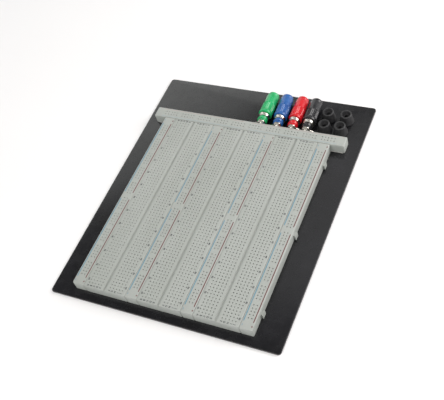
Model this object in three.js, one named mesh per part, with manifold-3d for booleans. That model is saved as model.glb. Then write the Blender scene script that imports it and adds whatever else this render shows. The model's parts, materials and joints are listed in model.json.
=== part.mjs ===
// A 2390-point solderless breadboard kit: a painted steel plate that carries three terminal
// strips and five bus strips, with four binding posts and four rubber feet lying loose on the
// plate's back margin. Millimetres, +Z up, +Y towards the back edge. The origin is the centre
// of the plate's underside.

import * as THREE from 'three';
import { mergeVertices } from 'three/addons/utils/BufferGeometryUtils.js';
import Module from 'manifold-3d';

const wasm = await Module();
wasm.setup();

// ---- driving dimensions ----

const HOLE_PITCH = 2.54;

const PLATE = { width: 184.15, depth: 222.25, thickness: 1.5, cornerRadius: 2.5 };
const POST_HOLE = { radius: 2.5, firstX: 5, pitch: 12.7, y: 90.8 };

const BACKING_THICKNESS = 0.6;
const STRIP = { length: 165.1, height: 7.9, topWall: 1.2, seam: 0.1, endWall: 1.6 };
const TERMINAL = { pitch: 35.0, rows: 63, innerHole: 3.81, holesAcross: 5 };
const BUS = { pitch: 9.7, holeOffset: HOLE_PITCH / 2, troughHalfWidth: 1.0, clipHalfWidth: 0.7 };
const CHANNEL = { halfWidth: 0.9, depth: 1.2 };
const TROUGH = { inner: 2.3, outer: 15.1 };
const CORNER_CHAMFER = 1.2;
const DOVETAIL = { root: 3.0, tip: 4.4, reach: 1.6, height: 4.4, spacing: 66, clearance: 0.3 };
const BLOCK_CENTRE = { x: -1.3, y: -21.2 };
const BACK_STRIP_SHIFT = 0.3;

const CLIP = { lift: 0.3, web: 0.3, height: 5.8, leafHalfThickness: 0.55, wall: 0.3 };
const CLIP_GAP_TO_TROUGH = 0.3;
const BUS_CLIP_BREAK = 3.0;

// Stations along a binding post, from the stud's rear end towards the cap's tip.
const POST = {
  studRadius: 2.0,
  fitGap: 0.3,
  studEnd: 28,
  nut: { start: 0.3, end: 2.0, acrossFlats: 6 },
  lug: { start: 2.3, end: 2.7, radius: 3.4, tongueReach: 7.2, tongueHalfWidth: 1.5, lift: -25 },
  rearWasher: { start: 3.0, end: 4.1, radius: 3.9 },
  frontBush: { start: 4.4, end: 7.2, radius: 3.7, flangeRadius: 4.2, flangeLength: 1.0 },
  shoulder: { start: 7.5, end: 10.2, radius: 4.4 },
  insert: { start: 10.5, end: 22.5, radius: 3.4 },
  cap: { start: 10.5, end: 33.0, radius: 5.6, neckRadius: 4.8, bevel: 0.7, insertRoom: 12.3 },
};
const CAP_BORE_RADIUS = POST.studRadius + POST.fitGap;

const POST_REST_Y = 71.4;
const POST_REST_GAP = 0.3;
const POSTS = [
  { colour: 'green', x: 8.5, leanDegrees: 0, shade: 0x129046, lugSide: -1 },
  { colour: 'blue', x: 22.4, leanDegrees: -3.0, shade: 0x2c4fa8, lugSide: -1 },
  { colour: 'red', x: 34.7, leanDegrees: -1.0, shade: 0xd81a22, lugSide: 1 },
  { colour: 'black', x: 46.5, leanDegrees: -1.0, shade: 0x17181a, lugSide: 1 },
];

const FOOT = {
  baseRadius: 5.9,
  baseBand: 1.2,
  topRadius: 4.5,
  height: 8.5,
  recessRadius: 3.2,
  recessDepth: 3.0,
  screwRadius: 1.7,
  restGap: 0.1,
};
const FEET = [
  { x: 59.3, y: 80.9 },
  { x: 72.0, y: 81.3 },
  { x: 58.7, y: 93.2 },
  { x: 73.3, y: 93.4 },
];

const ROUND_SEGMENTS = 18;
const SMALL_SEGMENTS = 14;
const ARC_SEGMENTS = 5;

// ---- heights worked out from those ----

const PLATE_TOP = PLATE.thickness;
const STRIP_BOTTOM = PLATE_TOP + BACKING_THICKNESS;
const STRIP_TOP = STRIP_BOTTOM + STRIP.height;
const TROUGH_TOP = STRIP_TOP - STRIP.topWall;
const CLIP_BOTTOM = STRIP_BOTTOM + CLIP.lift;
const CLIP_TOP = CLIP_BOTTOM + CLIP.height;
const POST_AXIS_HEIGHT = PLATE_TOP + POST.cap.radius + POST_REST_GAP;
const STRIP_HALF_LENGTH = STRIP.length / 2;
const CUT_OVERSHOOT = 1;

// ---- materials ----

function finish(color, roughness, metalness) {
  return new THREE.MeshStandardMaterial({ color, roughness, metalness });
}

const makePlateFinish = () => finish(0x16171a, 0.35, 0.3);
const makeStripFinish = () => finish(0xc9ccc3, 0.55, 0);
const makeFoamFinish = () => finish(0xe6e4dc, 0.95, 0);
const makeContactFinish = () => finish(0xb9b7ae, 0.35, 1);
const makeNickelFinish = () => finish(0xc6c5c0, 0.28, 1);
const makeBrassFinish = () => finish(0xb79a5a, 0.3, 1);
const makeRubberFinish = () => finish(0x121314, 0.75, 0);

// ---- solids ----

function solidOf(geometry) {
  const bare = geometry.index ? geometry.toNonIndexed() : geometry.clone();
  bare.deleteAttribute('normal');
  bare.deleteAttribute('uv');
  const merged = mergeVertices(bare, 1e-5);
  return new wasm.Manifold(new wasm.Mesh({
    numProp: 3,
    vertProperties: new Float32Array(merged.attributes.position.array),
    triVerts: new Uint32Array(merged.index.array),
  }));
}

function geometryOf(solid) {
  const mesh = solid.getMesh();
  const geometry = new THREE.BufferGeometry();
  geometry.setAttribute('position', new THREE.BufferAttribute(mesh.vertProperties, mesh.numProp));
  geometry.setIndex(new THREE.BufferAttribute(mesh.triVerts, 1));
  geometry.computeVertexNormals();
  return geometry;
}

function block(xLow, xHigh, yLow, yHigh, zLow, zHigh) {
  const geometry = new THREE.BoxGeometry(xHigh - xLow, yHigh - yLow, zHigh - zLow);
  return geometry.translate((xLow + xHigh) / 2, (yLow + yHigh) / 2, (zLow + zHigh) / 2);
}

function shapeFrom(points) {
  return new THREE.Shape(points.map(([x, y]) => new THREE.Vector2(x, y)));
}

function extrudeUp(shape, zLow, zHigh) {
  const options = { depth: zHigh - zLow, bevelEnabled: false, curveSegments: ARC_SEGMENTS };
  return new THREE.ExtrudeGeometry(shape, options).translate(0, 0, zLow);
}

// Extrudes a (y, z) outline from xLow to xHigh.
function extrudeAcross(shape, xLow, xHigh) {
  const turn = new THREE.Matrix4().makeBasis(
    new THREE.Vector3(0, 1, 0),
    new THREE.Vector3(0, 0, 1),
    new THREE.Vector3(1, 0, 0),
  );
  const options = { depth: xHigh - xLow, bevelEnabled: false };
  return new THREE.ExtrudeGeometry(shape, options).applyMatrix4(turn).translate(xLow, 0, 0);
}

// Turns a closed or axis-to-axis outline of [radius, station] points about the Y axis.
function turned(outline, segments = ROUND_SEGMENTS) {
  const points = outline.map(([radius, station]) => new THREE.Vector2(radius, station));
  return new THREE.LatheGeometry(points, segments);
}

function turnedRing(innerRadius, outline, start, end, segments = ROUND_SEGMENTS) {
  return turned([[innerRadius, start], ...outline, [innerRadius, end], [innerRadius, start]], segments);
}

function piece(name, geometry, material) {
  const mesh = new THREE.Mesh(geometry, material);
  mesh.name = name;
  return mesh;
}

function roundedRectangle(width, depth, radius) {
  const halfWidth = width / 2 - radius;
  const halfDepth = depth / 2 - radius;
  const shape = new THREE.Shape();
  shape.absarc(halfWidth, halfDepth, radius, 0, Math.PI / 2);
  shape.absarc(-halfWidth, halfDepth, radius, Math.PI / 2, Math.PI);
  shape.absarc(-halfWidth, -halfDepth, radius, Math.PI, Math.PI * 1.5);
  shape.absarc(halfWidth, -halfDepth, radius, Math.PI * 1.5, Math.PI * 2);
  return shape;
}

function circleHole(x, y, radius) {
  return new THREE.Path().absarc(x, y, radius, 0, Math.PI * 2, true);
}

// ---- plate and adhesive backing ----

function makeBasePlate() {
  const outline = roundedRectangle(PLATE.width, PLATE.depth, PLATE.cornerRadius);
  for (let index = 0; index < POSTS.length; index += 1) {
    const x = POST_HOLE.firstX + index * POST_HOLE.pitch;
    outline.holes.push(circleHole(x, POST_HOLE.y, POST_HOLE.radius));
  }
  return piece('base_plate', extrudeUp(outline, 0, PLATE_TOP), makePlateFinish());
}

function makeBacking(name, centre, width, depth) {
  const geometry = block(
    centre.x - width / 2, centre.x + width / 2,
    centre.y - depth / 2, centre.y + depth / 2,
    PLATE_TOP, STRIP_BOTTOM,
  );
  return piece(name, geometry, makeFoamFinish());
}

// ---- strips: a moulding with a dovetail tab row on its right and slots on its left ----

function dovetailOutline(xRoot, y, grow) {
  const halfRoot = DOVETAIL.root / 2 + grow;
  const halfTip = DOVETAIL.tip / 2 + grow;
  const xTip = xRoot + DOVETAIL.reach + grow;
  return shapeFrom([[xRoot, y - halfRoot], [xTip, y - halfTip], [xTip, y + halfTip], [xRoot, y + halfRoot]]);
}

function dovetailPlaces() {
  return [-DOVETAIL.spacing, 0, DOVETAIL.spacing];
}

function stripBody(width, cornerChamfer) {
  const half = width / 2;
  const outline = shapeFrom([
    [-half + cornerChamfer, -STRIP_HALF_LENGTH],
    [half, -STRIP_HALF_LENGTH],
    [half, STRIP_HALF_LENGTH],
    [-half, STRIP_HALF_LENGTH],
    ...(cornerChamfer > 0 ? [[-half, -STRIP_HALF_LENGTH + cornerChamfer]] : []),
  ]);
  let body = solidOf(extrudeUp(outline, STRIP_BOTTOM, STRIP_TOP));
  const tabTop = STRIP_BOTTOM + DOVETAIL.height;
  for (const y of dovetailPlaces()) {
    const tab = extrudeUp(dovetailOutline(half, y, 0), STRIP_BOTTOM, tabTop);
    const rooted = tab.clone().translate(-DOVETAIL.clearance / 2, 0, 0);
    body = body.add(solidOf(tab)).add(solidOf(rooted));
    const slotOutline = dovetailOutline(-half - STRIP.seam, y, DOVETAIL.clearance);
    const slot = extrudeUp(slotOutline, STRIP_BOTTOM - CUT_OVERSHOOT, tabTop + DOVETAIL.clearance);
    body = body.subtract(solidOf(slot));
  }
  return body;
}

function troughCut(xLow, xHigh) {
  const reach = STRIP_HALF_LENGTH - STRIP.endWall;
  return solidOf(block(xLow, xHigh, -reach, reach, STRIP_BOTTOM - CUT_OVERSHOOT, TROUGH_TOP));
}

function terminalStripGeometry() {
  const channel = block(
    -CHANNEL.halfWidth, CHANNEL.halfWidth,
    -STRIP_HALF_LENGTH - CUT_OVERSHOOT, STRIP_HALF_LENGTH + CUT_OVERSHOOT,
    STRIP_TOP - CHANNEL.depth, STRIP_TOP + CUT_OVERSHOOT,
  );
  return geometryOf(
    stripBody(TERMINAL.pitch - STRIP.seam, 0)
      .subtract(solidOf(channel))
      .subtract(troughCut(-TROUGH.outer, -TROUGH.inner))
      .subtract(troughCut(TROUGH.inner, TROUGH.outer)),
  );
}

function busStripGeometry(cornerChamfer) {
  let body = stripBody(BUS.pitch - STRIP.seam, cornerChamfer);
  for (const side of [-1, 1]) {
    const centre = side * BUS.holeOffset;
    body = body.subtract(troughCut(centre - BUS.troughHalfWidth, centre + BUS.troughHalfWidth));
  }
  return geometryOf(body);
}

// ---- spring contacts: the clips of one hole field stand on a common web ----

function terminalClipsGeometry(side) {
  const reach = ((TERMINAL.rows - 1) / 2) * HOLE_PITCH;
  const webTop = CLIP_BOTTOM + CLIP.web;
  const yEnd = reach + CLIP.leafHalfThickness;
  const outline = [[-yEnd, CLIP_BOTTOM], [yEnd, CLIP_BOTTOM]];
  for (let row = TERMINAL.rows - 1; row >= 0; row -= 1) {
    const y = row * HOLE_PITCH - reach;
    if (row < TERMINAL.rows - 1) outline.push([y + CLIP.leafHalfThickness, webTop]);
    outline.push([y + CLIP.leafHalfThickness, CLIP_TOP]);
    outline.push([y - CLIP.leafHalfThickness, CLIP_TOP]);
    if (row > 0) outline.push([y - CLIP.leafHalfThickness, webTop]);
  }
  const inner = TROUGH.inner + CLIP_GAP_TO_TROUGH;
  const outer = TROUGH.outer - CLIP_GAP_TO_TROUGH;
  const xLow = side > 0 ? inner : -outer;
  return extrudeAcross(shapeFrom(outline), xLow, xLow + outer - inner);
}

// A long U channel, cut down to its web at mid-length, where the printed line stops too.
function busClipGeometry(side) {
  const centre = side * BUS.holeOffset;
  const half = BUS.clipHalfWidth;
  const reach = STRIP_HALF_LENGTH - STRIP.endWall - CLIP_GAP_TO_TROUGH;
  const webTop = CLIP_BOTTOM + CLIP.web;
  const above = CLIP_TOP + CUT_OVERSHOOT;
  const bar = block(centre - half, centre + half, -reach, reach, CLIP_BOTTOM, CLIP_TOP);
  const groove = block(
    centre - half + CLIP.wall, centre + half - CLIP.wall,
    -reach - CUT_OVERSHOOT, reach + CUT_OVERSHOOT,
    webTop, above,
  );
  const gap = block(
    centre - half - CUT_OVERSHOOT, centre + half + CUT_OVERSHOOT,
    -BUS_CLIP_BREAK / 2, BUS_CLIP_BREAK / 2,
    webTop, above,
  );
  return geometryOf(solidOf(bar).subtract(solidOf(groove)).subtract(solidOf(gap)));
}

function makeTerminalStrip(number) {
  const group = new THREE.Group();
  group.add(piece(`terminal_strip_${number}`, terminalStripGeometry(), makeStripFinish()));
  const leftClips = terminalClipsGeometry(-1);
  const rightClips = terminalClipsGeometry(1);
  group.add(piece(`terminal_clips_${number}_left`, leftClips, makeContactFinish()));
  group.add(piece(`terminal_clips_${number}_right`, rightClips, makeContactFinish()));
  return group;
}

function makeBusStrip(label, cornerChamfer) {
  const group = new THREE.Group();
  group.add(piece(`bus_strip_${label}`, busStripGeometry(cornerChamfer), makeStripFinish()));
  group.add(piece(`bus_clip_${label}_blue`, busClipGeometry(-1), makeContactFinish()));
  group.add(piece(`bus_clip_${label}_red`, busClipGeometry(1), makeContactFinish()));
  return group;
}

// The block runs bus, terminal, bus, terminal, bus, terminal, bus from left to right.
function makeStripBlock() {
  const group = new THREE.Group();
  const stripCount = 7;
  const width = 4 * BUS.pitch + 3 * TERMINAL.pitch;
  let left = -width / 2;
  for (let index = 0; index < stripCount; index += 1) {
    const isBus = index % 2 === 0;
    const number = Math.floor(index / 2) + 1;
    const pitch = isBus ? BUS.pitch : TERMINAL.pitch;
    const chamfer = index === 0 ? CORNER_CHAMFER : 0;
    const strip = isBus ? makeBusStrip(number, chamfer) : makeTerminalStrip(number);
    strip.position.x = left + pitch / 2;
    group.add(strip);
    left += pitch;
  }
  group.position.set(BLOCK_CENTRE.x, BLOCK_CENTRE.y, 0);
  return group;
}

function blockBackingPiece() {
  const width = 4 * BUS.pitch + 3 * TERMINAL.pitch - 2 * CORNER_CHAMFER;
  return makeBacking('adhesive_backing_block', BLOCK_CENTRE, width, STRIP.length - 2 * STRIP.endWall);
}

// One more bus strip lies across the back of the block, and is wider than the block.
const BACK_STRIP_CENTRE = {
  x: BLOCK_CENTRE.x + BACK_STRIP_SHIFT,
  y: BLOCK_CENTRE.y + STRIP_HALF_LENGTH + STRIP.seam + BUS.pitch / 2,
};

function makeBackStrip() {
  const strip = makeBusStrip('back', 0);
  const quarterTurn = new THREE.Matrix4().makeBasis(
    new THREE.Vector3(0, 1, 0),
    new THREE.Vector3(-1, 0, 0),
    new THREE.Vector3(0, 0, 1),
  );
  for (const mesh of strip.children) mesh.geometry.applyMatrix4(quarterTurn);
  strip.position.set(BACK_STRIP_CENTRE.x, BACK_STRIP_CENTRE.y, 0);
  return strip;
}

function backBackingPiece() {
  const length = STRIP.length - 2 * STRIP.endWall;
  return makeBacking('adhesive_backing_back', BACK_STRIP_CENTRE, length, BUS.pitch - STRIP.seam);
}

// ---- binding posts, each built along +Y and then laid down on the plate ----

function studGeometry() {
  const { start, end, radius } = POST.shoulder;
  return turned([
    [0, 0],
    [POST.studRadius, 0],
    [POST.studRadius, start],
    [radius, start],
    [radius, end],
    [POST.studRadius, end],
    [POST.studRadius, POST.studEnd],
    [0, POST.studEnd],
  ], SMALL_SEGMENTS);
}

// Extrudes an (x, z) outline along the post from one station to another.
function flatOnPost(shape, start, end) {
  const turn = new THREE.Matrix4().makeBasis(
    new THREE.Vector3(0, 0, 1),
    new THREE.Vector3(1, 0, 0),
    new THREE.Vector3(0, 1, 0),
  );
  const options = { depth: end - start, bevelEnabled: false, curveSegments: ARC_SEGMENTS };
  return new THREE.ExtrudeGeometry(shape, options).applyMatrix4(turn).translate(0, start, 0);
}

function hexNutGeometry() {
  const { start, end, acrossFlats } = POST.nut;
  const cornerRadius = acrossFlats / Math.sqrt(3);
  const corners = [];
  for (let index = 0; index < 6; index += 1) {
    const angle = (index * Math.PI) / 3;
    corners.push([cornerRadius * Math.cos(angle), cornerRadius * Math.sin(angle)]);
  }
  const shape = shapeFrom(corners);
  shape.holes.push(circleHole(0, 0, POST.studRadius + POST.fitGap));
  return flatOnPost(shape, start, end);
}

// The lug's tongue points away from the post on one side; a negative lift lets it hang down.
function solderLugGeometry(side) {
  const { start, end, radius, tongueReach, tongueHalfWidth, lift } = POST.lug;
  const rootAngle = Math.asin(tongueHalfWidth / radius);
  const shape = new THREE.Shape();
  shape.absarc(0, 0, radius, rootAngle, Math.PI * 2 - rootAngle);
  shape.absarc(tongueReach - tongueHalfWidth, 0, tongueHalfWidth, -Math.PI / 2, Math.PI / 2);
  shape.holes.push(circleHole(0, 0, POST.studRadius + POST.fitGap));
  const liftAngle = THREE.MathUtils.degToRad(lift);
  const turnAboutPost = side > 0 ? Math.PI / 2 - liftAngle : -(Math.PI / 2 - liftAngle);
  return flatOnPost(shape, start, end).rotateY(turnAboutPost);
}

function rearWasherGeometry() {
  const { start, end, radius } = POST.rearWasher;
  return turnedRing(CAP_BORE_RADIUS, [[radius, start], [radius, end]], start, end);
}

function frontBushGeometry() {
  const { start, end, radius, flangeRadius, flangeLength } = POST.frontBush;
  const outline = [
    [flangeRadius, start],
    [flangeRadius, start + flangeLength],
    [radius, start + flangeLength],
    [radius, end],
  ];
  return turnedRing(CAP_BORE_RADIUS, outline, start, end);
}

function capInsertGeometry() {
  const { start, end, radius } = POST.insert;
  return turnedRing(CAP_BORE_RADIUS, [[radius, start], [radius, end]], start, end, SMALL_SEGMENTS);
}

function capGeometry() {
  const { start, end, radius, neckRadius, bevel, insertRoom } = POST.cap;
  const roomRadius = POST.insert.radius + POST.fitGap;
  return turned([
    [roomRadius, start],
    [neckRadius, start],
    [radius, start + bevel],
    [radius, end - bevel],
    [neckRadius, end],
    [CAP_BORE_RADIUS, end],
    [CAP_BORE_RADIUS, start + insertRoom],
    [roomRadius, start + insertRoom],
    [roomRadius, start],
  ]);
}

function makeBindingPost({ colour, x, leanDegrees, shade, lugSide }) {
  const group = new THREE.Group();
  const makePlastic = () => finish(shade, 0.28, 0);
  group.add(piece(`post_${colour}_stud`, studGeometry(), makeNickelFinish()));
  group.add(piece(`post_${colour}_hex_nut`, hexNutGeometry(), makeNickelFinish()));
  group.add(piece(`post_${colour}_solder_lug`, solderLugGeometry(lugSide), makeNickelFinish()));
  group.add(piece(`post_${colour}_rear_washer`, rearWasherGeometry(), makePlastic()));
  group.add(piece(`post_${colour}_front_bush`, frontBushGeometry(), makePlastic()));
  group.add(piece(`post_${colour}_cap_insert`, capInsertGeometry(), makeBrassFinish()));
  group.add(piece(`post_${colour}_cap`, capGeometry(), makePlastic()));
  group.position.set(x, POST_REST_Y, POST_AXIS_HEIGHT);
  group.rotation.z = -THREE.MathUtils.degToRad(leanDegrees);
  return group;
}

// ---- rubber feet, standing on the plate with the screw recess upwards ----

function makeRubberFoot(number, { x, y }) {
  const recessFloor = FOOT.height - FOOT.recessDepth;
  const geometry = turned([
    [FOOT.screwRadius, 0],
    [FOOT.baseRadius, 0],
    [FOOT.baseRadius, FOOT.baseBand],
    [FOOT.topRadius, FOOT.height],
    [FOOT.recessRadius, FOOT.height],
    [FOOT.recessRadius, recessFloor],
    [FOOT.screwRadius, recessFloor],
    [FOOT.screwRadius, 0],
  ]).rotateX(Math.PI / 2);
  const foot = piece(`rubber_foot_${number}`, geometry, makeRubberFinish());
  foot.position.set(x, y, PLATE_TOP + FOOT.restGap);
  return foot;
}

// ---- the whole kit ----

const breadboard = new THREE.Group();
breadboard.add(makeBasePlate());
breadboard.add(blockBackingPiece());
breadboard.add(backBackingPiece());
breadboard.add(makeStripBlock());
breadboard.add(makeBackStrip());
for (const post of POSTS) breadboard.add(makeBindingPost(post));
FEET.forEach((place, index) => breadboard.add(makeRubberFoot(index + 1, place)));

export default breadboard;
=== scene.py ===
import json
import math

import bmesh
import bpy
from mathutils import Matrix, Vector, noise


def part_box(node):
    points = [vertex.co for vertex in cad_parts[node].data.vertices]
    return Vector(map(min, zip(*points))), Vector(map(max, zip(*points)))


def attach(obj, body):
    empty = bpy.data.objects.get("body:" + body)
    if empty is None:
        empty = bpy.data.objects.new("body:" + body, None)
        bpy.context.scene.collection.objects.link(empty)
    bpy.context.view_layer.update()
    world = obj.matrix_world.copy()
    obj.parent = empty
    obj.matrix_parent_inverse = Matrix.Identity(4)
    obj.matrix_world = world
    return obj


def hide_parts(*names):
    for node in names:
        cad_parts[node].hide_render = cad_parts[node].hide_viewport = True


# Looks for a solderless breadboard kit. Meshes are built in millimetres in the part's own frame,
# and scaled to metres when they become pieces.

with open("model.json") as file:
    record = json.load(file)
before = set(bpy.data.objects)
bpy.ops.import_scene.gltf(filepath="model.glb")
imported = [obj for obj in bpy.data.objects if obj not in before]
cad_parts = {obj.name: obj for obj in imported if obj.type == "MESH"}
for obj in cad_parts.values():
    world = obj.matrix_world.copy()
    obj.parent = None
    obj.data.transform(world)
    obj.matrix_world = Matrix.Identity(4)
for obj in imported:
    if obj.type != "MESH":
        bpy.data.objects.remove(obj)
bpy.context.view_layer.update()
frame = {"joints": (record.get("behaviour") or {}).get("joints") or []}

MM = 0.001
JOINTS = {joint["name"]: joint for joint in frame["joints"]}


def box_mm(node):
    """A CAD node's lowest and highest corners, in millimetres."""
    low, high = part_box(node)
    return low / MM, high / MM


# ---- driving dimensions, millimetres ----

HOLE_PITCH = 2.54
ROWS = 63
INNER_COLUMN = 3.81
COLUMNS = 5
BUS_GROUPS = 10
BUS_GROUP_HOLES = 5
BUS_GROUP_PITCH = 6 * HOLE_PITCH
BUS_ROW_OFFSET = HOLE_PITCH / 2

HOLE_MOUTH = 0.52
HOLE_SHAFT = 0.34
HOLE_LEAD = 0.3
TOP_WALL = 1.2
CELL_HALF = 0.95
CELL_INNER, CELL_OUTER = 2.3, 15.1
BUS_CELL_HALF = 1.0
END_WALL = 1.6
CHANNEL_HALF, CHANNEL_DEPTH, CHANNEL_SLOPE = 0.6, 1.2, 0.4
STRIP_EDGE, STRIP_CORNER = 0.6, 0.8
FRONT_LEFT_CORNER = 1.4
TAB = {"root": 3.0, "tip": 4.4, "reach": 1.6, "height": 4.4, "spacing": 66.0, "clearance": 0.3}

PLATE_LOW, PLATE_HIGH = box_mm("base_plate")
PLATE_CORNER, PLATE_EDGE = 2.5, 0.3
POST_HOLE = {"radius": 2.5, "first_x": 5.0, "pitch": 12.7, "y": 90.8, "count": 4}

STRIP_LOW, STRIP_HIGH = box_mm("terminal_strip_1")
STRIP_BOTTOM, STRIP_TOP = STRIP_LOW.z, STRIP_HIGH.z
STRIP_LENGTH = STRIP_HIGH.y - STRIP_LOW.y
TERMINAL_WIDTH = STRIP_HIGH.x - STRIP_LOW.x - TAB["reach"]
BUS_LOW, BUS_HIGH = box_mm("bus_strip_1")
BUS_WIDTH = BUS_HIGH.x - BUS_LOW.x - TAB["reach"]

INK = {"height": 0.03, "line_half": 0.32, "line_offset": 3.6, "line_end": 76.5, "line_break": 3.2}
LETTER_SIZE, NUMBER_SIZE, SIGN_SIZE = 2.1, 1.8, 2.8
LETTER_WEIGHT = 0.06
SIGN_GAP = 3.0
NUMBER_X = 15.7
ROWS_BEHIND_NUMBER_ONE = 2

# ---- camera, set at the photograph's viewing angle ----

CAMERA_PLACE = Vector((0.2472, -0.3066, 0.4793))
CAMERA_TARGET = Vector((0.0039, -0.0022, 0.0015))
CAMERA_ROLL = math.radians(-20.1)
CAMERA_LENS = 65.4
SENSOR_WIDTH = 36.0


def make_camera():
    data = bpy.data.cameras.new("camera")
    data.lens = CAMERA_LENS
    data.sensor_width = SENSOR_WIDTH
    camera = bpy.data.objects.new("camera", data)
    bpy.context.scene.collection.objects.link(camera)
    aim = (CAMERA_TARGET - CAMERA_PLACE).to_track_quat("-Z", "Y").to_matrix().to_4x4()
    roll = Matrix.Rotation(CAMERA_ROLL, 4, "Z")
    camera.matrix_world = Matrix.Translation(CAMERA_PLACE) @ aim @ roll
    bpy.context.scene.camera = camera


make_camera()

# ---- stage: pale floor, soft studio light ----

FLOOR_HALF = 0.7
HORIZON_STRENGTH, CEILING_STRENGTH = 0.9, 0.12
HORIZON_ENDS, CEILING_BEGINS = math.radians(18), math.radians(50)


def add_area_light(name, place, target, size, power, colour=(1, 1, 1)):
    data = bpy.data.lights.new(name, "AREA")
    data.shape = "RECTANGLE"
    data.size, data.size_y = size
    data.energy = power
    data.color = colour
    light = bpy.data.objects.new(name, data)
    bpy.context.scene.collection.objects.link(light)
    light.location = place
    light.rotation_mode = "QUATERNION"
    light.rotation_quaternion = (Vector(target) - Vector(place)).to_track_quat("-Z", "Y")


def studio_world():
    """A white room with a dark ceiling: bright at the horizon, dim overhead."""
    world = bpy.data.worlds.new("studio")
    world.use_nodes = True
    nodes, links = world.node_tree.nodes, world.node_tree.links
    height = nodes.new("ShaderNodeSeparateXYZ")
    links.new(nodes.new("ShaderNodeTexCoord").outputs["Generated"], height.inputs["Vector"])
    fade = nodes.new("ShaderNodeMapRange")
    fade.interpolation_type = "SMOOTHSTEP"
    fade.inputs["From Min"].default_value = math.sin(HORIZON_ENDS)
    fade.inputs["From Max"].default_value = math.sin(CEILING_BEGINS)
    fade.inputs["To Min"].default_value = HORIZON_STRENGTH
    fade.inputs["To Max"].default_value = CEILING_STRENGTH
    links.new(height.outputs["Z"], fade.inputs["Value"])
    background = nodes["Background"]
    background.inputs["Color"].default_value = (1.0, 1.0, 1.0, 1)
    links.new(fade.outputs["Result"], background.inputs["Strength"])
    return world


def make_stage():
    scene = bpy.context.scene
    scene.view_settings.view_transform = "Standard"
    scene.world = studio_world()
    add_area_light("key", (0.75, -0.75, 1.35), (0, 0, 0), (1.1, 1.1), 9.5, (1.0, 0.97, 0.96))
    add_area_light("side", (0.62, 0.46, 0.48), (0, 0.05, 0), (0.6, 0.6), 6.5, (1.0, 0.965, 0.96))
    add_area_light("front", (-0.4, -0.8, 1.0), (0, -0.08, 0), (0.8, 0.5), 6.3, (1.0, 0.98, 0.96))
    panel_tint = (0.98, 1.0, 0.96)
    add_area_light("back_left_panel", (-0.95, 0.95, 0.86), (0, 0.05, 0), (1.2, 0.6), 2.1, panel_tint)
    add_area_light("back_right_panel", (-0.08, 0.6, 1.15), (0.08, 0, 0), (0.85, 0.7), 1.2)
    bm = bmesh.new()
    corners = ((-1, -1), (1, -1), (1, 1), (-1, 1))
    bm.faces.new([bm.verts.new((x * FLOOR_HALF, y * FLOOR_HALF, 0)) for x, y in corners])
    mesh = bpy.data.meshes.new("floor")
    bm.to_mesh(mesh)
    bm.free()
    floor = bpy.data.objects.new("floor", mesh)
    bpy.context.scene.collection.objects.link(floor)
    mesh.materials.append(floor_material())


# ---- materials ----


class Shader:
    """A new node material with a Principled surface, and short ways to add to it."""

    def __init__(self, name):
        self.material = bpy.data.materials.new(name)
        self.material.use_nodes = True
        self.tree = self.material.node_tree
        self.surface = self.tree.nodes["Principled BSDF"]
        self.where = self.tree.nodes.new("ShaderNodeTexCoord").outputs["Object"]

    def set(self, **values):
        for key, value in values.items():
            self.surface.inputs[key.replace("_", " ")].default_value = value

    def node(self, kind, **values):
        made = self.tree.nodes.new(kind)
        for key, value in values.items():
            made.inputs[key].default_value = value
        return made

    def link(self, source, target):
        self.tree.links.new(source, target)

    def noise(self, size_mm, detail=4.0, stretch=(1, 1, 1)):
        """Noise with features of about size_mm, longer along the axes whose stretch is above 1."""
        mapping = self.node("ShaderNodeMapping")
        mapping.inputs["Scale"].default_value = [1 / s for s in stretch]
        self.link(self.where, mapping.inputs["Vector"])
        texture = self.node("ShaderNodeTexNoise", Scale=1 / (size_mm * MM), Detail=detail)
        self.link(mapping.outputs["Vector"], texture.inputs["Vector"])
        return texture.outputs["Fac"]

    def ramp(self, source, stops):
        """A colour ramp through (position, colour) stops."""
        ramp = self.node("ShaderNodeValToRGB")
        elements = ramp.color_ramp.elements
        for index, (position, colour) in enumerate(stops):
            element = elements[index] if index < 2 else elements.new(position)
            element.position = position
            element.color = (*colour, 1)
        self.link(source, ramp.inputs["Fac"])
        return ramp.outputs["Color"]

    def spread(self, source, low, high):
        """Source's middle range, spread over low to high."""
        node = self.node("ShaderNodeMapRange")
        node.inputs["From Min"].default_value = 0.3
        node.inputs["From Max"].default_value = 0.7
        node.inputs["To Min"].default_value = low
        node.inputs["To Max"].default_value = high
        self.link(source, node.inputs["Value"])
        return node.outputs["Result"]

    def mix(self, factor, first, second):
        """first and second are colour outputs or plain colours."""
        node = self.node("ShaderNodeMix")
        node.data_type = "RGBA"
        self.link(factor, node.inputs["Factor"])
        for value, key in ((first, "A"), (second, "B")):
            target = next(i for i in node.inputs if i.name == key and i.type == "RGBA")
            if isinstance(value, tuple):
                target.default_value = (*value, 1)
            else:
                self.link(value, target)
        return next(o for o in node.outputs if o.type == "RGBA")

    def base(self, colour):
        self.link(colour, self.surface.inputs["Base Color"])

    def rough(self, source, low, high):
        self.link(self.spread(source, low, high), self.surface.inputs["Roughness"])

    def bump(self, source, height_mm, strength=1.0):
        node = self.node("ShaderNodeBump", Strength=strength, Distance=height_mm * MM)
        self.link(source, node.inputs["Height"])
        previous = self.surface.inputs["Normal"]
        if previous.is_linked:
            self.link(previous.links[0].from_socket, node.inputs["Normal"])
        self.link(node.outputs["Normal"], previous)


def floor_material():
    shader = Shader("floor_pale")
    shader.base(shader.ramp(shader.noise(400), [(0.3, (0.86, 0.86, 0.86)), (0.7, (0.89, 0.89, 0.89))]))
    shader.set(Roughness=0.7)
    return shader.material


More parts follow.
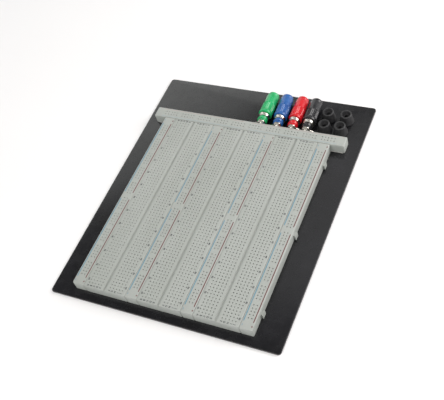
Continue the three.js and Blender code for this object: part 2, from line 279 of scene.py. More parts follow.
def strip_plastic_material():
    """Moulded off-white plastic: faint flow mottling, a fine spark-eroded grain and a satin sheen."""
    shader = Shader("strip_plastic")
    mottle = shader.ramp(
        shader.noise(22, stretch=(1, 3, 1)),
        [(0.32, (0.338, 0.360, 0.334)), (0.68, (0.376, 0.397, 0.374))],
    )
    speck = shader.spread(shader.noise(1.1, 6.0), 0.0, 0.16)
    shader.base(shader.mix(speck, mottle, (0.293, 0.309, 0.283)))
    shader.rough(shader.noise(3.0), 0.38, 0.52)
    shader.bump(shader.noise(0.35, 2.0), 0.02, 0.35)
    shader.bump(shader.noise(9.0, 2.0), 0.05, 0.25)
    shader.set(Specular_IOR_Level=0.45)
    return shader.material


def plate_enamel_material():
    """Black stoved enamel: orange peel, dust specks and fine rubbed scratches."""
    shader = Shader("plate_enamel")
    shade = shader.ramp(
        shader.noise(35),
        [(0.35, (0.0045, 0.0045, 0.0055)), (0.65, (0.009, 0.009, 0.011))],
    )
    scratch = shader.spread(shader.noise(0.5, 3.0, stretch=(60, 1.5, 1)), -0.9, 0.22)
    shader.base(shader.mix(scratch, shade, (0.035, 0.036, 0.04)))
    shader.rough(shader.noise(6.0, 6.0), 0.2, 0.32)
    shader.bump(shader.noise(1.6, 3.0), 0.03, 0.35)
    shader.bump(shader.noise(0.25, 2.0), 0.008, 0.25)
    shader.set(Specular_IOR_Level=0.5)
    shader.surface.inputs["Coat Weight"].default_value = 0.25
    shader.surface.inputs["Coat Roughness"].default_value = 0.12
    return shader.material


def foam_material():
    shader = Shader("foam_tape")
    shader.base(shader.ramp(
        shader.noise(0.6, 6.0),
        [(0.3, (0.70, 0.68, 0.64)), (0.7, (0.86, 0.84, 0.80))],
    ))
    shader.set(Roughness=0.95)
    shader.bump(shader.noise(0.25, 4.0), 0.12, 0.9)
    return shader.material


def metal_material(name, dark, light, roughness, grain_mm, stretch=(1, 1, 1)):
    shader = Shader(name)
    shader.base(shader.ramp(shader.noise(2.5, 5.0), [(0.3, dark), (0.7, light)]))
    shader.set(Metallic=1.0)
    shader.rough(shader.noise(grain_mm, 4.0, stretch), *roughness)
    shader.bump(shader.noise(grain_mm, 3.0, stretch), 0.012, 0.4)
    return shader.material


def gloss_plastic_material(name, dark, light, roughness=(0.16, 0.3)):
    """Injection-moulded cap plastic: slightly cloudy colour, rubbed gloss and faint sink marks."""
    shader = Shader(name)
    shader.base(shader.ramp(shader.noise(3.0, 5.0), [(0.3, dark), (0.7, light)]))
    shader.rough(shader.noise(1.2, 6.0), *roughness)
    shader.bump(shader.noise(0.3, 3.0), 0.015, 0.3)
    shader.bump(shader.noise(4.0, 2.0), 0.06, 0.25)
    shader.set(Specular_IOR_Level=0.5)
    return shader.material


def rubber_material():
    shader = Shader("foot_rubber")
    shade = shader.ramp(
        shader.noise(2.0, 6.0),
        [(0.35, (0.010, 0.010, 0.011)), (0.7, (0.028, 0.028, 0.030))],
    )
    dust = shader.spread(shader.noise(0.5, 6.0), -0.25, 0.22)
    shader.base(shader.mix(dust, shade, (0.10, 0.10, 0.095)))
    shader.rough(shader.noise(1.0, 4.0), 0.42, 0.62)
    shader.bump(shader.noise(0.3, 4.0), 0.03, 0.5)
    return shader.material


def ink_material(name, ink, faded):
    """Screen-printed ink: slightly broken coverage over the plastic's grain."""
    shader = Shader(name)
    shader.base(shader.ramp(shader.noise(0.9, 8.0), [(0.36, ink), (0.78, faded)]))
    shader.rough(shader.noise(0.8), 0.45, 0.65)
    shader.bump(shader.noise(0.2, 2.0), 0.01, 0.4)
    return shader.material


# ---- mesh building ----


def place_mesh(bm, matrix):
    bmesh.ops.transform(bm, matrix=matrix, verts=bm.verts)
    return bm


def joined(parts):
    """One bmesh from several, which are used up."""
    whole = bmesh.new()
    carrier = bpy.data.meshes.new("carrier")
    for part in parts:
        part.to_mesh(carrier)
        part.free()
        whole.from_mesh(carrier)
    bpy.data.meshes.remove(carrier)
    return whole


def repeated(pattern, matrices):
    """One bmesh holding a copy of pattern at each matrix. The pattern is used up."""
    whole = bmesh.new()
    carrier = bpy.data.meshes.new("carrier")
    pattern.to_mesh(carrier)
    pattern.free()
    for matrix in matrices:
        copy = carrier.copy()
        copy.transform(matrix)
        whole.from_mesh(copy)
        bpy.data.meshes.remove(copy)
    bpy.data.meshes.remove(carrier)
    return whole


def boolean(target, cutter, operation="DIFFERENCE"):
    """Cuts or joins two closed bmeshes, which are used up, and returns the result."""
    objects = []
    for bm in (target, cutter):
        mesh = bpy.data.meshes.new("solid")
        bm.to_mesh(mesh)
        bm.free()
        holder = bpy.data.objects.new("solid", mesh)
        bpy.context.scene.collection.objects.link(holder)
        objects.append(holder)
    modifier = objects[0].modifiers.new("cut", "BOOLEAN")
    modifier.operation = operation
    modifier.solver = "MANIFOLD"
    modifier.object = objects[1]
    bpy.context.view_layer.update()
    graph = bpy.context.evaluated_depsgraph_get()
    evaluated = objects[0].evaluated_get(graph)
    result = bmesh.new()
    result.from_mesh(evaluated.to_mesh())
    evaluated.to_mesh_clear()
    for holder in objects:
        mesh = holder.data
        bpy.data.objects.remove(holder)
        bpy.data.meshes.remove(mesh)
    return result


def loft(rings, cap_ends=True):
    """Quads between rings of points with equal counts, and a face over each end."""
    bm = bmesh.new()
    made = [[bm.verts.new(point) for point in ring] for ring in rings]
    for lower, upper in zip(made, made[1:]):
        for index in range(len(lower)):
            after = (index + 1) % len(lower)
            bm.faces.new((lower[index], lower[after], upper[after], upper[index]))
    if cap_ends:
        bm.faces.new(made[0][::-1])
        bm.faces.new(made[-1])
    return bm


def rounded_outline(low, high, radii, steps=6):
    """A rectangle from low to high with a radius for each corner, counted from front left."""
    centres = (
        (low[0], low[1], 1, 1),
        (high[0], low[1], -1, 1),
        (high[0], high[1], -1, -1),
        (low[0], high[1], 1, -1),
    )
    points = []
    for corner, (x, y, inward_x, inward_y) in enumerate(centres):
        radius = max(radii[corner], 0.01)
        for step in range(steps + 1):
            angle = math.pi * (1 + corner / 2) + math.pi / 2 * step / steps
            points.append((
                x + inward_x * radius + radius * math.cos(angle),
                y + inward_y * radius + radius * math.sin(angle),
            ))
    return points


def rounded_slab(low, high, radii, edge, round_bottom=False, steps=6, edge_steps=3):
    """A closed slab whose upper rim, and lower rim if asked, is rounded by edge."""

    def ring(inset, z):
        outline = rounded_outline(
            (low[0] + inset, low[1] + inset),
            (high[0] - inset, high[1] - inset),
            [radius - inset for radius in radii],
            steps,
        )
        return [(x, y, z) for x, y in outline]

    turns = [math.pi / 2 * step / edge_steps for step in range(edge_steps + 1)]
    lower = [ring(edge * (1 - math.sin(a)), low[2] + edge * (1 - math.cos(a))) for a in turns]
    upper = [ring(edge * (1 - math.cos(a)), high[2] - edge * (1 - math.sin(a))) for a in turns]
    return loft((lower if round_bottom else [ring(0, low[2])]) + upper)


def prism(outline, low, high):
    """A closed prism over an (x, y) outline that runs anticlockwise."""
    return loft([[(x, y, z) for x, y in outline] for z in (low, high)])


def block(low, high):
    corners = ((low[0], low[1]), (high[0], low[1]), (high[0], high[1]), (low[0], high[1]))
    return prism(corners, low[2], high[2])


def cylinder(centre, radius, low, high, segments=32):
    turns = [math.tau * step / segments for step in range(segments)]
    outline = [(centre[0] + radius * math.cos(a), centre[1] + radius * math.sin(a)) for a in turns]
    return prism(outline, low, high)


def turned(profile, segments, radius_at=None):
    """Revolves a closed (radius, station) profile about +Y. A profile that touches the axis has
    radius 0 at its first and last points. radius_at(radius, station, angle) may vary the radius
    round the turn."""
    bm = bmesh.new()
    shape = radius_at or (lambda radius, station, angle: radius)
    columns = []
    poles = {
        index: bm.verts.new((0, station, 0))
        for index, (radius, station) in enumerate(profile)
        if radius == 0
    }
    for step in range(segments):
        angle = math.tau * step / segments
        column = []
        for index, (radius, station) in enumerate(profile):
            if index in poles:
                column.append(poles[index])
                continue
            r = shape(radius, station, angle)
            column.append(bm.verts.new((r * math.sin(angle), station, r * math.cos(angle))))
        columns.append(column)
    count = len(profile)
    pairs = [(index, (index + 1) % count) for index in range(count)]
    for step in range(segments):
        here, beyond = columns[step], columns[(step + 1) % segments]
        for a, b in pairs:
            ring = [here[a], beyond[a], beyond[b], here[b]]
            ring = [v for place, v in enumerate(ring) if v not in ring[:place]]
            if len(ring) > 2:
                bm.faces.new(ring)
    bmesh.ops.recalc_face_normals(bm, faces=bm.faces)
    return bm


def add_piece(name, bm, body, material, replaces=(), smooth_degrees=35):
    """Makes a bmesh in millimetres into a piece that rides on a body."""
    bmesh.ops.scale(bm, vec=(MM, MM, MM), verts=bm.verts)
    mesh = bpy.data.meshes.new(name)
    bm.to_mesh(mesh)
    bm.free()
    mesh.materials.append(material)
    mesh.shade_smooth()
    mesh.set_sharp_from_angle(angle=math.radians(smooth_degrees))
    piece = bpy.data.objects.new(name, mesh)
    bpy.context.scene.collection.objects.link(piece)
    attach(piece, body)
    if replaces:
        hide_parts(*replaces)
    return piece


# ---- strips ----


def hole_cutter(places):
    """A square pyramid mouth over a straight square shaft, at each (x, y)."""
    above = 0.2
    flare = HOLE_MOUTH + (HOLE_MOUTH - HOLE_SHAFT) * above / HOLE_LEAD
    levels = (
        (HOLE_SHAFT, STRIP_TOP - TOP_WALL - above),
        (HOLE_SHAFT, STRIP_TOP - HOLE_LEAD),
        (flare, STRIP_TOP + above),
    )
    corners = ((-1, -1), (1, -1), (1, 1), (-1, 1))
    pattern = loft([[(sx * half, sy * half, z) for sx, sy in corners] for half, z in levels])
    return repeated(pattern, [Matrix.Translation((x, y, 0)) for x, y in places])


def dovetail(x_root, y, grow, low, high):
    half_root = TAB["root"] / 2 + grow
    half_tip = TAB["tip"] / 2 + grow
    x_tip = x_root + TAB["reach"] + grow
    outline = (
        (x_root, y - half_root),
        (x_tip, y - half_tip),
        (x_tip, y + half_tip),
        (x_root, y + half_root),
    )
    return prism(outline, low, high)


def add_dovetails(body, width):
    """Three tabs on the right side and three matching slots on the left."""
    sunk = 0.3
    tab_top = STRIP_BOTTOM + TAB["height"]
    places = (-TAB["spacing"], 0, TAB["spacing"])
    tabs = []
    for y in places:
        tab = dovetail(width / 2, y, 0, STRIP_BOTTOM, tab_top)
        root = block(
            (width / 2 - sunk, y - TAB["root"] / 2, STRIP_BOTTOM),
            (width / 2 + sunk, y + TAB["root"] / 2, tab_top),
        )
        tabs.append(boolean(tab, root, "UNION"))
    slots = [
        dovetail(-width / 2 - 0.1, y, TAB["clearance"], STRIP_BOTTOM - 1, tab_top + TAB["clearance"])
        for y in places
    ]
    return boolean(boolean(body, joined(tabs), "UNION"), joined(slots))


def strip_body(width, front_left_radius):
    radii = [front_left_radius, STRIP_CORNER, STRIP_CORNER, STRIP_CORNER]
    half_width, half_length = width / 2, STRIP_LENGTH / 2
    body = rounded_slab(
        (-half_width, -half_length, STRIP_BOTTOM),
        (half_width, half_length, STRIP_TOP),
        radii,
        STRIP_EDGE,
    )
    return add_dovetails(body, width)


def channel_cutter():
    """The centre channel: a flat floor between sloping sides, run past both ends of the strip."""
    over = 1.0
    half_length = STRIP_LENGTH / 2 + over
    top_half = CHANNEL_HALF + CHANNEL_SLOPE * (1 + over / CHANNEL_DEPTH)
    section = (
        (-CHANNEL_HALF, STRIP_TOP - CHANNEL_DEPTH),
        (CHANNEL_HALF, STRIP_TOP - CHANNEL_DEPTH),
        (top_half, STRIP_TOP + over),
        (-top_half, STRIP_TOP + over),
    )
    return loft([[(x, y, z) for x, z in section] for y in (half_length, -half_length)])


def row_places():
    return [(row - (ROWS - 1) / 2) * HOLE_PITCH for row in range(ROWS)]


def column_places():
    return [INNER_COLUMN + column * HOLE_PITCH for column in range(COLUMNS)]


def terminal_strip_mesh():
    body = boolean(strip_body(TERMINAL_WIDTH, STRIP_CORNER), channel_cutter())
    cells = []
    for y in row_places():
        for side in (-1, 1):
            x_low, x_high = sorted((side * CELL_INNER, side * CELL_OUTER))
            cells.append(block(
                (x_low, y - CELL_HALF, STRIP_BOTTOM - 1),
                (x_high, y + CELL_HALF, STRIP_TOP - TOP_WALL),
            ))
    body = boolean(body, joined(cells))
    holes = [(side * x, y) for x in column_places() for y in row_places() for side in (-1, 1)]
    return boolean(body, hole_cutter(holes))


def bus_hole_stations():
    """Ten groups of five, with one hole left out between groups."""
    first = -((BUS_GROUPS - 1) * BUS_GROUP_PITCH + (BUS_GROUP_HOLES - 1) * HOLE_PITCH) / 2
    return [
        first + group * BUS_GROUP_PITCH + hole * HOLE_PITCH
        for group in range(BUS_GROUPS)
        for hole in range(BUS_GROUP_HOLES)
    ]


def bus_strip_mesh(front_left_radius):
    body = strip_body(BUS_WIDTH, front_left_radius)
    reach = STRIP_LENGTH / 2 - END_WALL
    troughs = [
        block(
            (side * BUS_ROW_OFFSET - BUS_CELL_HALF, -reach, STRIP_BOTTOM - 1),
            (side * BUS_ROW_OFFSET + BUS_CELL_HALF, reach, STRIP_TOP - TOP_WALL),
        )
        for side in (-1, 1)
    ]
    body = boolean(body, joined(troughs))
    holes = [(side * BUS_ROW_OFFSET, y) for y in bus_hole_stations() for side in (-1, 1)]
    return boolean(body, hole_cutter(holes))


# ---- printing on the strips ----


def text_mesh(text, size):
    """A thin printed word, centred on the origin and lying flat."""
    curve = bpy.data.curves.new("print", "FONT")
    curve.body = text
    curve.size = size
    curve.resolution_u = 2
    curve.offset = LETTER_WEIGHT
    curve.extrude = INK["height"] / 2
    curve.align_x = "CENTER"
    curve.align_y = "CENTER"
    holder = bpy.data.objects.new("print", curve)
    bpy.context.scene.collection.objects.link(holder)
    bpy.context.view_layer.update()
    graph = bpy.context.evaluated_depsgraph_get()
    mesh = bpy.data.meshes.new_from_object(holder.evaluated_get(graph))
    bpy.data.objects.remove(holder)
    bpy.data.curves.remove(curve)
    bm = bmesh.new()
    bm.from_mesh(mesh)
    bpy.data.meshes.remove(mesh)
    bmesh.ops.remove_doubles(bm, verts=bm.verts, dist=0.001)
    return bm


def printed(text, size, places):
    """The text at each (x, y) on the strips' top face, read from the strip's left side."""
    turn = Matrix.Rotation(-math.pi / 2, 4, "Z")
    z = STRIP_TOP + INK["height"] / 2
    return repeated(text_mesh(text, size), [Matrix.Translation((x, y, z)) @ turn for x, y in places])


def terminal_print_mesh():
    """Letters A to J past both ends, and row numbers down both sides, counted from the back."""
    rows = row_places()
    parts = []
    columns = [-x for x in reversed(column_places())] + column_places()
    letter_y = rows[-1] + HOLE_PITCH
    for letter, x in zip("ABCDEFGHIJ", columns):
        parts.append(printed(letter, LETTER_SIZE, [(x, -letter_y), (x, letter_y)]))
    for number in [1] + list(range(5, ROWS, 5)):
        y = rows[-number - ROWS_BEHIND_NUMBER_ONE]
        parts.append(printed(str(number), NUMBER_SIZE, [(-NUMBER_X, y), (NUMBER_X, y)]))
    return joined(parts)


def bus_line_mesh(side):
    """One printed line in two halves, with a sign past each of its ends."""
    x = side * INK["line_offset"]
    z_low, z_high = STRIP_TOP - 0.01, STRIP_TOP + INK["height"]
    sign = "+" if side > 0 else "−"
    sign_y = INK["line_end"] + SIGN_GAP
    parts = [printed(sign, SIGN_SIZE, [(x, -sign_y), (x, sign_y)])]
    for end in (-1, 1):
        y_low, y_high = sorted((end * INK["line_break"], end * INK["line_end"]))
        parts.append(rounded_slab(
            (x - INK["line_half"], y_low, z_low),
            (x + INK["line_half"], y_high, z_high),
            [INK["line_half"]] * 4,
            0.01,
            steps=3,
            edge_steps=1,
        ))
    return joined(parts)


# ---- spring clips ----

LEAF = 0.18
CLIP_HALF_WIDTH = 0.62
FINGER_HALF = 0.85


def finger_pair(half_width, bottom, top):
    """The section of two leaves on a base, pinched together near the top and flared above."""
    pinch = 0.10
    bend = bottom + (top - bottom) * 0.45
    neck = bottom + (top - bottom) * 0.82
    outside = [
        (0.0, bottom),
        (half_width, bottom),
        (half_width, bend),
        (pinch + LEAF, neck),
        (pinch + LEAF * 2.4, top),
    ]
    inside = [
        (pinch + LEAF * 1.4, top),
        (pinch, neck),
        (half_width - LEAF, bend),
        (half_width - LEAF, bottom + LEAF),
        (0.0, bottom + LEAF),
    ]
    right = outside + inside
    left = [(-across, z) for across, z in reversed(right[1:-1])]
    return right + left


def clip_mesh(length, finger_places, finger_half, half_width, bottom, top):
    """A strip of spring metal along +X with a pair of leaves under each hole."""
    section = finger_pair(half_width, bottom, top)
    pattern = loft([[(x, y, z) for y, z in section] for x in (-finger_half, finger_half)])
    fingers = repeated(pattern, [Matrix.Translation((x, 0, 0)) for x in finger_places])
    web = block((-length / 2, -half_width, bottom), (length / 2, half_width, bottom + LEAF))
    return joined([fingers, web])


CLIP_LOW, CLIP_HIGH = box_mm("terminal_clips_1_left")
CLIP_BOTTOM, CLIP_TOP = CLIP_LOW.z, CLIP_HIGH.z


def terminal_clip_field(node):
    """The 63 clips of one hole field, centred on the CAD node's box."""
    low, high = box_mm(node)
    centre = (low + high) / 2
    fingers = [(column - (COLUMNS - 1) / 2) * HOLE_PITCH for column in range(COLUMNS)]
    clip = clip_mesh(high.x - low.x, fingers, FINGER_HALF, CLIP_HALF_WIDTH, CLIP_BOTTOM, CLIP_TOP)
    spots = [Matrix.Translation((centre.x, centre.y + y, 0)) for y in row_places()]
    return repeated(clip, spots)


def bus_clip_line():
    """Two half-length clips end to end along +X, centred on the origin."""
    stations = bus_hole_stations()
    halves = []
    for end in (-1, 1):
        mine = [y for y in stations if y * end > 0]
        middle = (mine[0] + mine[-1]) / 2
        length = mine[-1] - mine[0] + 2 * FINGER_HALF
        clip = clip_mesh(
            length, [y - middle for y in mine], FINGER_HALF, CLIP_HALF_WIDTH, CLIP_BOTTOM, CLIP_TOP
        )
        halves.append(place_mesh(clip, Matrix.Translation((middle, 0, 0))))
    return joined(halves)


# ---- foam, plate ----


def foam_mesh(node):
    """A foam slab whose cut edges waver a little."""
    low, high = box_mm(node)
    waver = 0.25
    cells = 60
    outline = []
    corners = [(low.x, low.y), (high.x, low.y), (high.x, high.y), (low.x, high.y)]
    for index, start in enumerate(corners):
        end = corners[(index + 1) % 4]
        for step in range(cells):
            share = step / cells
            x = start[0] + (end[0] - start[0]) * share
            y = start[1] + (end[1] - start[1]) * share
            wave = waver * (0.5 + 0.5 * noise.noise(Vector((x * 0.15, y * 0.15, 3.0))))
            x -= wave * math.copysign(1, x - (low.x + high.x) / 2)
            y -= wave * math.copysign(1, y - (low.y + high.y) / 2)
            outline.append((x, y))
    return prism(outline, low.z, high.z)


def plate_mesh():
    body = rounded_slab(
        PLATE_LOW, PLATE_HIGH, [PLATE_CORNER] * 4, PLATE_EDGE, round_bottom=True, steps=10
    )
    holes = [
        cylinder(
            (POST_HOLE["first_x"] + index * POST_HOLE["pitch"], POST_HOLE["y"]),
            POST_HOLE["radius"],
            PLATE_LOW.z - 1,
            PLATE_HIGH.z + 1,
        )
        for index in range(POST_HOLE["count"])
    ]
    return boolean(body, joined(holes))


# ---- binding posts, built along +Y from the stud's rear end ----

STUD_RADIUS, THREAD_DEPTH, THREAD_PITCH = 2.0, 0.32, 0.7
STUD_END = 28.0
BORE_RADIUS = 2.3
NUT = {"start": 0.3, "end": 2.0, "flats": 6.0}
LUG = {"start": 2.3, "end": 2.7, "radius": 3.4, "reach": 7.2, "half": 1.5, "hole": 0.8, "lift": -25.0}
REAR_WASHER = {"start": 3.0, "end": 4.1, "radius": 3.9}
FRONT_BUSH = {"start": 4.4, "end": 7.2, "radius": 3.7, "flange_radius": 4.2, "flange": 1.0}
SHOULDER = {"start": 7.5, "end": 10.2, "radius": 4.4}
INSERT = {"start": 10.5, "end": 22.5, "radius": 3.4}
CAP = {"start": 10.5, "end": 33.0, "radius": 5.6, "room": 3.7, "room_end": 22.8}
LUG_SIDES = {"green": -1, "blue": -1, "red": 1, "black": 1}


def post_matrix(colour):
    """Where a post's own +Y axis and rear end are, from its cap's joint."""
    joint = JOINTS[f"cap_{colour}_turn"]
    along = Vector(joint["axis"]).normalized()
    up = Vector((0, 0, 1))
    across = along.cross(up)
    rotation = Matrix((across, along, up)).transposed().to_4x4()
    return Matrix.Translation(Vector(joint["pos_m"]) / MM) @ rotation


def threaded_radius(radius, station, angle):
    """A right-hand V thread, cut only where the plain stud runs."""
    if radius < STUD_RADIUS - 0.01 or radius > STUD_RADIUS + 0.01:
        return radius
    phase = (station / THREAD_PITCH - angle / math.tau) % 1.0
    depth = THREAD_DEPTH * (1 - abs(2 * phase - 1))
    return radius - depth


def knurl(count, depth, low, high):
    """A radius function that cuts count flutes between two stations."""

    def radius_at(radius, station, angle):
        if not low <= station <= high or radius < BORE_RADIUS + 1.5:
            return radius
        return radius - depth * (0.5 - 0.5 * math.cos(count * angle))

    return radius_at


def run_of(radius, start, end, step):
    """Points along a straight stretch of a profile, about step apart."""
    count = max(1, round(abs(end - start) / step))
    return [(radius, start + (end - start) * index / count) for index in range(count + 1)]


def stud_mesh():
    step = THREAD_PITCH / 6
    knurl_at = knurl(36, 0.16, SHOULDER["start"] + 0.3, SHOULDER["end"] - 0.3)

    def radius_at(radius, station, angle):
        return knurl_at(threaded_radius(radius, station, angle), station, angle)

    edge = 0.25
    wide = SHOULDER["radius"]
    profile = [(0, 0), (STUD_RADIUS - 0.45, 0)]
    profile += run_of(STUD_RADIUS, 0.35, SHOULDER["start"] - 0.05, step)
    profile += [
        (wide - edge, SHOULDER["start"]),
        (wide, SHOULDER["start"] + edge),
        (wide, SHOULDER["start"] + edge + 0.1),
        (wide, SHOULDER["end"] - edge - 0.1),
        (wide, SHOULDER["end"] - edge),
        (wide - edge, SHOULDER["end"]),
    ]
    profile += run_of(STUD_RADIUS, SHOULDER["end"] + 0.05, STUD_END - 0.35, step)
    profile += [(STUD_RADIUS - 0.45, STUD_END), (0, STUD_END)]
    return turned(profile, 48, radius_at)


def hex_nut_mesh():
    """The hexagon is cut back by a cone at both faces, which leaves the curved corner chamfers."""
    flat = NUT["flats"] / 2
    start, end = NUT["start"], NUT["end"]
    sixth = math.tau / 6

    def radius_at(radius, station, angle):
        if radius < BORE_RADIUS + 0.5:
            return radius
        hexagon = flat / math.cos((angle + sixth / 2) % sixth - sixth / 2)
        from_face = min(station - start, end - station)
        return min(hexagon, flat + 0.02 + from_face * 1.9)

    bore = BORE_RADIUS
    profile = [(bore, start + 0.3), (bore + 0.3, start)]
    profile += run_of(flat * 1.2, start, end, 0.12)
    profile += [(bore + 0.3, end), (bore, end - 0.3)]
    return turned(profile, 72, radius_at)


def ring_mesh(inner, outer, start, end, edge=0.2, segments=48):
    profile = [
        (inner, start + edge),
        (inner + edge, start),
        (outer - edge, start),
        (outer - edge * 0.3, start + edge * 0.3),
        (outer, start + edge),
        (outer, end - edge),
        (outer - edge * 0.3, end - edge * 0.3),
        (outer - edge, end),
        (inner + edge, end),
        (inner, end - edge),
    ]
    return turned(profile, segments)


def front_bush_mesh():
    bush = FRONT_BUSH
    edge = 0.2
    flange_end = bush["start"] + bush["flange"]
    profile = [
        (BORE_RADIUS, bush["start"] + edge),
        (BORE_RADIUS + edge, bush["start"]),
        (bush["flange_radius"] - edge, bush["start"]),
        (bush["flange_radius"], bush["start"] + edge),
        (bush["flange_radius"], flange_end - edge),
        (bush["flange_radius"] - edge, flange_end),
        (bush["radius"] + edge / 2, flange_end),
        (bush["radius"], flange_end + edge / 2),
        (bush["radius"], bush["end"] - edge),
        (bush["radius"] - edge, bush["end"]),
        (BORE_RADIUS + edge, bush["end"]),
        (BORE_RADIUS, bush["end"] - edge),
    ]
    return turned(profile, 48)


def solder_lug_mesh(side):
    """A flat ring with a rounded tongue that has a wire hole, standing across the post."""
    radius, reach, half = LUG["radius"], LUG["reach"], LUG["half"]
    root = math.asin(half / radius)
    outline = []
    ring_steps, tip_steps = 36, 10
    for step in range(ring_steps + 1):
        angle = root + (math.tau - 2 * root) * step / ring_steps
        outline.append((radius * math.cos(angle), radius * math.sin(angle)))
    for step in range(tip_steps + 1):
        angle = -math.pi / 2 + math.pi * step / tip_steps
        outline.append((reach - half + half * math.cos(angle), half * math.sin(angle)))
    low, high = LUG["start"], LUG["end"]
    body = prism(outline, low, high)
    cutters = [
        cylinder((0, 0), BORE_RADIUS, low - 1, high + 1),
        cylinder((reach - half, 0), LUG["hole"], low - 1, high + 1, 16),
    ]
    body = boolean(body, joined(cutters))
    lift = math.radians(LUG["lift"])
    direction = math.pi / 2 - lift if side > 0 else lift - math.pi / 2
    # The outline's x, y become the post's z, x, and its height becomes the station along the post.
    stand = Matrix(((0, 1, 0, 0), (0, 0, 1, 0), (1, 0, 0, 0), (0, 0, 0, 1)))
    return place_mesh(body, Matrix.Rotation(direction, 4, "Y") @ stand)


def cap_mesh():
    """A long barrel: flared skirt, fluted grip, plain neck, two steps at the tip, plug bore inside."""
    start, end, wide = CAP["start"], CAP["end"], CAP["radius"]
    grip_low, grip_high = start + 2.9, start + 10.5
    barrel = wide - 0.3
    profile = [
        (CAP["room"], start + 0.2),
        (CAP["room"] + 0.2, start),
        (wide - 0.7, start),
        (wide - 0.2, start + 0.25),
        (wide, start + 0.7),
        (wide, start + 1.7),
        (wide - 0.2, start + 2.1),
        (barrel - 0.25, start + 2.3),
        (barrel - 0.25, start + 2.6),
        (barrel, grip_low - 0.05),
    ]
    profile += run_of(barrel, grip_low, grip_high, 1.2)
    profile += [
        (barrel, grip_high + 0.05),
        (barrel - 0.12, grip_high + 0.5),
        (barrel - 0.12, end - 3.6),
        (barrel - 0.2, end - 3.4),
        (barrel - 0.45, end - 3.3),
        (barrel - 0.45, end - 2.2),
        (barrel - 0.75, end - 2.0),
        (barrel - 0.75, end - 1.0),
        (barrel - 0.9, end - 0.6),
        (barrel - 1.3, end - 0.15),
        (barrel - 1.8, end),
        (BORE_RADIUS + 0.6, end),
        (BORE_RADIUS + 0.1, end - 0.45),
        (BORE_RADIUS, end - 0.9),
        (BORE_RADIUS, CAP["room_end"]),
        (CAP["room"], CAP["room_end"]),
    ]
    return turned(profile, 144, knurl(24, 0.34, grip_low, grip_high))


def make_post(colour, plastic, nickel, brass):
    matrix = post_matrix(colour)
    post, insert, cap = f"post_{colour}", f"insert_{colour}", f"cap_{colour}"

    def add(part, bm, body, material, smooth=35):
        node = f"post_{colour}_{part}"
        add_piece(f"{node}_fine", place_mesh(bm, matrix), body, material, [node], smooth)

    washer = ring_mesh(BORE_RADIUS, REAR_WASHER["radius"], REAR_WASHER["start"], REAR_WASHER["end"])
    sleeve = ring_mesh(BORE_RADIUS, INSERT["radius"], INSERT["start"], INSERT["end"])
    add("stud", stud_mesh(), post, nickel, 50)
    add("hex_nut", hex_nut_mesh(), post, nickel, 25)
    add("solder_lug", solder_lug_mesh(LUG_SIDES[colour]), post, nickel)
    add("rear_washer", washer, post, plastic)
    add("front_bush", front_bush_mesh(), post, plastic)
    add("cap_insert", sleeve, insert, brass)
    add("cap", cap_mesh(), cap, plastic)


# ---- rubber feet ----

FOOT = {"top": 4.5, "recess": 3.2, "depth": 3.0, "screw": 1.7}


def foot_mesh(node):
    """A tapered foot with a soft rim and a screw recess in its small end."""
    low, high = box_mm(node)
    base = (high.x - low.x) / 2
    height = high.z - low.z
    top, recess, depth, screw = (FOOT[key] for key in ("top", "recess", "depth", "screw"))
    profile = [
        (screw, 0.2),
        (screw + 0.2, 0),
        (base - 0.5, 0),
        (base - 0.12, 0.15),
        (base, 0.5),
        (base - 0.03, 1.0),
        (base - 0.35, 1.5),
    ]
    side_steps, waist, hollow = 6, base - 0.35, 0.12
    for step in range(1, side_steps + 1):
        share = step / side_steps
        z = 1.5 + (height - 2.3) * share
        radius = waist + (top - waist) * share
        profile.append((radius - hollow * math.sin(math.pi * share), z))
    profile += [
        (top - 0.05, height - 0.4),
        (top - 0.3, height - 0.1),
        (top - 0.75, height),
        (recess + 0.25, height - 0.05),
        (recess, height - 0.4),
        (recess - 0.15, height - depth + 0.4),
        (recess - 0.5, height - depth),
        (screw, height - depth),
    ]
    centre = (low + high) / 2
    up = Matrix.Rotation(math.pi / 2, 4, "X")
    return place_mesh(turned(profile, 64), Matrix.Translation((centre.x, centre.y, low.z)) @ up)


# ---- the whole kit ----


def strip_centre(node, width):
    """A strip's centre. Its box also holds the tabs on its right side."""
    low, high = box_mm(node)
    return low.x + width / 2, (low.y + high.y) / 2


def make_terminal_strips(plastic, contact):
    dark = ink_material("ink_dark", (0.012, 0.014, 0.018), (0.05, 0.055, 0.06))
    for number in (1, 2, 3):
        node = f"terminal_strip_{number}"
        x, y = strip_centre(node, TERMINAL_WIDTH)
        here = Matrix.Translation((x, y, 0))
        body = place_mesh(terminal_strip_mesh(), here)
        add_piece(f"{node}_moulding", body, "board", plastic, [node])
        ink = place_mesh(terminal_print_mesh(), here)
        add_piece(f"{node}_print", ink, "board", dark)
        for side in ("left", "right"):
            clips = f"terminal_clips_{number}_{side}"
            leaves = terminal_clip_field(clips)
            add_piece(f"{clips}_leaves", leaves, "board", contact, [clips])


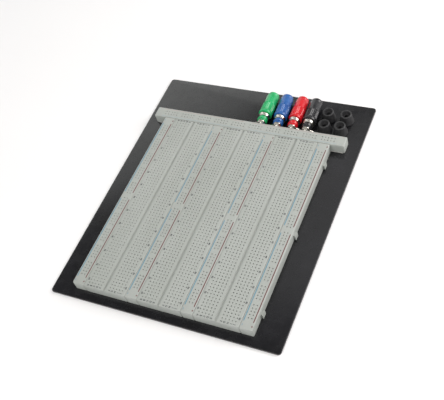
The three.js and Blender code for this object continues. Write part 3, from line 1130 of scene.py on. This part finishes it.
def make_bus_strips(plastic, contact):
    """Four strips that run back to front, and one that lies across the back, whose lines take paler
    copies of the red and blue inks: painted light that washes out the back strip's lines.
    """
    red = ink_material("ink_red", (0.085, 0.003, 0.006), (0.15, 0.018, 0.022))
    blue = ink_material("ink_blue", (0.065, 0.20, 0.285), (0.16, 0.30, 0.37))
    # Paler copies of the red and blue inks for the back strip: painted light, standing in for the
    # brighter light that washes out its lines.
    painted_light_red = ink_material("ink_red_painted_light", (0.36, 0.31, 0.29), (0.39, 0.37, 0.345))
    painted_light_blue = ink_material("ink_blue_painted_light", (0.29, 0.355, 0.365), (0.36, 0.39, 0.375))
    quarter = Matrix.Rotation(math.pi / 2, 4, "Z")
    for label in ("1", "2", "3", "4", "back"):
        node = f"bus_strip_{label}"
        x, y = strip_centre(node, BUS_WIDTH)
        here = Matrix.Translation((x, y, 0))
        if label == "back":
            low, high = box_mm(node)
            here = Matrix.Translation(((low.x + high.x) / 2, low.y + BUS_WIDTH / 2, 0)) @ quarter
        corner = FRONT_LEFT_CORNER if label == "1" else STRIP_CORNER
        body = place_mesh(bus_strip_mesh(corner), here)
        add_piece(f"{node}_moulding", body, "board", plastic, [node])
        # The back strip takes the paler inks, which are painted light.
        inks = (painted_light_blue, painted_light_red) if label == "back" else (blue, red)
        for side, colour, ink in ((-1, "blue", inks[0]), (1, "red", inks[1])):
            line = place_mesh(bus_line_mesh(side), here)
            add_piece(f"{node}_line_{colour}", line, "board", ink)
            clip = f"bus_clip_{label}_{colour}"
            sideways = Matrix.Translation((side * BUS_ROW_OFFSET, 0, 0)) @ quarter
            leaves = place_mesh(bus_clip_line(), here @ sideways)
            add_piece(f"{clip}_leaves", leaves, "board", contact, [clip])


def make_strips():
    plastic = strip_plastic_material()
    contact = metal_material("spring_contact", (0.50, 0.48, 0.42), (0.66, 0.63, 0.56), (0.25, 0.4), 0.4)
    make_terminal_strips(plastic, contact)
    make_bus_strips(plastic, contact)


def make_base():
    enamel = plate_enamel_material()
    add_piece("base_plate_enamelled", plate_mesh(), "board", enamel, ["base_plate"])
    foam = foam_material()
    for node in ("adhesive_backing_block", "adhesive_backing_back"):
        add_piece(f"{node}_foam", foam_mesh(node), "board", foam, [node])


def make_posts():
    nickel = metal_material("nickel_plate", (0.52, 0.50, 0.45), (0.74, 0.71, 0.65), (0.16, 0.3), 0.5)
    brass = metal_material("brass_turned", (0.46, 0.33, 0.12), (0.66, 0.50, 0.22), (0.2, 0.34), 0.4)
    plastics = {
        "green": ((0.010, 0.30, 0.085), (0.022, 0.42, 0.15)),
        "blue": ((0.014, 0.078, 0.27), (0.026, 0.125, 0.38)),
        "red": ((0.50, 0.007, 0.012), (0.62, 0.016, 0.024)),
        "black": ((0.010, 0.010, 0.012), (0.022, 0.022, 0.024)),
    }
    for colour, (dark, light) in plastics.items():
        plastic = gloss_plastic_material(f"cap_plastic_{colour}", dark, light)
        make_post(colour, plastic, nickel, brass)


def make_feet():
    rubber = rubber_material()
    for number in (1, 2, 3, 4):
        node = f"rubber_foot_{number}"
        mesh = foot_mesh(node)
        add_piece(f"{node}_moulded", mesh, f"foot_{number}", rubber, [node], 40)


make_stage()
make_base()
make_strips()
make_posts()
make_feet()
